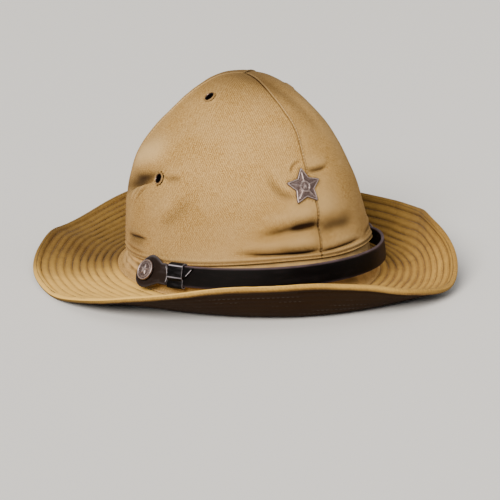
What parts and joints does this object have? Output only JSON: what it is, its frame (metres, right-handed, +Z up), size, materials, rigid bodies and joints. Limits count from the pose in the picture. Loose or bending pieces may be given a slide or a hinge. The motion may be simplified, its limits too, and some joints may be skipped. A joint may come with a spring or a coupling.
{
  "type": "bush hat",
  "caption": "Khaki cotton bush hat with a tall gored crown, a wide row-stitched brim, a leather chin strap worn over the front, a star badge and vent eyelets.",
  "frame": {"origin": "middle of the bounding box seen from above, on the surface that the hat rests on", "axes": "+Z up, the hat faces -Y, +X to its wearer's left"},
  "size_m": [0.2892, 0.3226, 0.1409],
  "materials": {
    "khaki_twill": "matt cotton twill",
    "quilted_twill": "matt cotton twill, stitched in rows",
    "strap_leather": "smooth, polished by wear",
    "tab_leather": "smooth, a little worn",
    "dark_bronze": "dark patina, satin",
    "khaki_metal": "khaki lacquer worn to bare metal"
  },
  "bodies": {
    "root": {"crown_gore_right": "khaki_twill", "crown_gore_left": "khaki_twill", "crown_gore_back": "khaki_twill", "crown_band": "khaki_twill", "brim": "quilted_twill", "chin_strap": "strap_leather", "strap_tab": "tab_leather", "strap_keeper": "strap_leather", "strap_tail": "strap_leather", "button_right": "dark_bronze", "button_left": "dark_bronze", "star_badge": "dark_bronze", "eyelet_right_low": "khaki_metal", "eyelet_right_high": "khaki_metal", "eyelet_left_low": "khaki_metal", "eyelet_left_high": "khaki_metal"}
  },
  "joints": []
}
